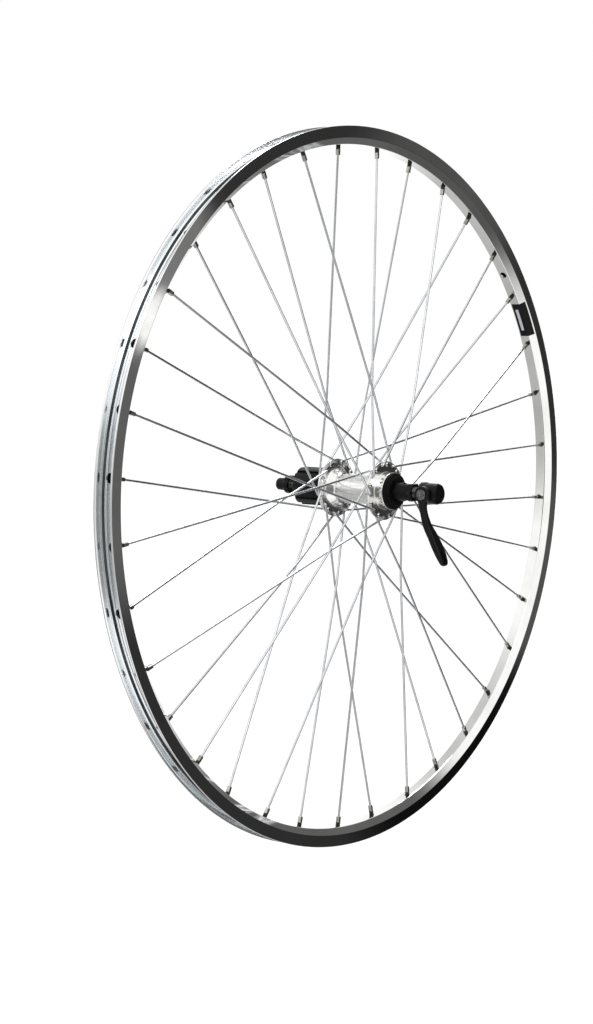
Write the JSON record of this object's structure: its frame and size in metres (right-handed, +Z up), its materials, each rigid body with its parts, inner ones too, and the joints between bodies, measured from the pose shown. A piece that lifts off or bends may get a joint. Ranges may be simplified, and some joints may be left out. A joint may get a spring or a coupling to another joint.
{
  "type": "bicycle wheel",
  "caption": "Rear bicycle wheel: a silver clincher rim laced with crossed wire spokes to a freewheeling hub that has a black quick-release skewer. No tyre.",
  "frame": {"origin": "the wheel's centre: on the axle's axis, in the middle plane of the rim", "axes": "+Y along the axle towards the drive side, +Z up, +X to the right for someone who looks along +Y; the quick-release lever is on the -Y side and hangs towards -Z"},
  "size_m": [0.6339, 0.1904, 0.634],
  "materials": {
    "rim_aluminium": "machined and polished",
    "hub_aluminium": "polished",
    "spoke_steel": "drawn stainless wire",
    "nipple_nickel": "nickel plated",
    "bearing_steel": "ground",
    "axle_steel": "turned",
    "black_metal": "black, satin",
    "freehub_metal": "black, dull",
    "lever_metal": "black, glossy",
    "cam_chrome": "polished",
    "boot_rubber": "matte",
    "cap_plastic": "matte"
  },
  "bodies": {
    "axle": {"axle": "axle_steel", "nondrive_inner_ring": "bearing_steel", "drive_inner_ring": "bearing_steel", "nondrive_cone": "black_metal", "drive_cone": "black_metal", "nondrive_locknut": "black_metal", "drive_locknut": "black_metal", "dust_boot": "boot_rubber"},
    "wheel": {"rim": "rim_aluminium", "nondrive_pulling_spokes": "spoke_steel", "nondrive_pushing_spokes": "spoke_steel", "drive_pulling_spokes": "spoke_steel", "drive_pushing_spokes": "spoke_steel", "nondrive_nipples": "nipple_nickel", "drive_nipples": "nipple_nickel", "hub_shell": "hub_aluminium", "nondrive_outer_ring": "bearing_steel", "drive_outer_ring": "bearing_steel", "freehub_core": "axle_steel", "freehub_bolt": "axle_steel", "pawls": "bearing_steel", "dust_cap": "cap_plastic"},
    "freehub": {"freehub_body": "freehub_metal"},
    "skewer_head": {"cam_housing": "black_metal", "nondrive_spring": "bearing_steel"},
    "lever": {"lever": "lever_metal", "cam_shaft": "cam_chrome"},
    "rod": {"skewer_rod": "axle_steel"},
    "nut": {"skewer_nut": "black_metal", "drive_spring": "bearing_steel"}
  },
  "joints": [
    {"name": "wheel_spin", "type": "hinge", "parent": "axle", "child": "wheel", "pos_m": [0, 0, 0], "axis": [0, 1, 0], "continuous": true},
    {"name": "freehub_spin", "type": "hinge", "parent": "wheel", "child": "freehub", "pos_m": [0, 0, 0], "axis": [0, 1, 0], "continuous": true},
    {"name": "skewer_turn", "type": "hinge", "parent": "axle", "child": "skewer_head", "pos_m": [0, 0, 0], "axis": [0, 1, 0], "continuous": true},
    {"name": "lever_throw", "type": "hinge", "parent": "skewer_head", "child": "lever", "pos_m": [0, -0.081, 0], "axis": [-1, 0, 0], "range_deg": [0, 180]},
    {"name": "rod_pull", "type": "slide", "parent": "skewer_head", "child": "rod", "axis": [0, -1, 0], "range_m": [0, 0.0015]},
    {"name": "nut_turn", "type": "hinge", "parent": "rod", "child": "nut", "pos_m": [0, 0, 0], "axis": [0, 1, 0], "continuous": true}
  ],
  "couplings": [
    {"joint": "rod_pull", "follows": "lever_throw", "m_per_rad": 0.00047746}
  ]
}
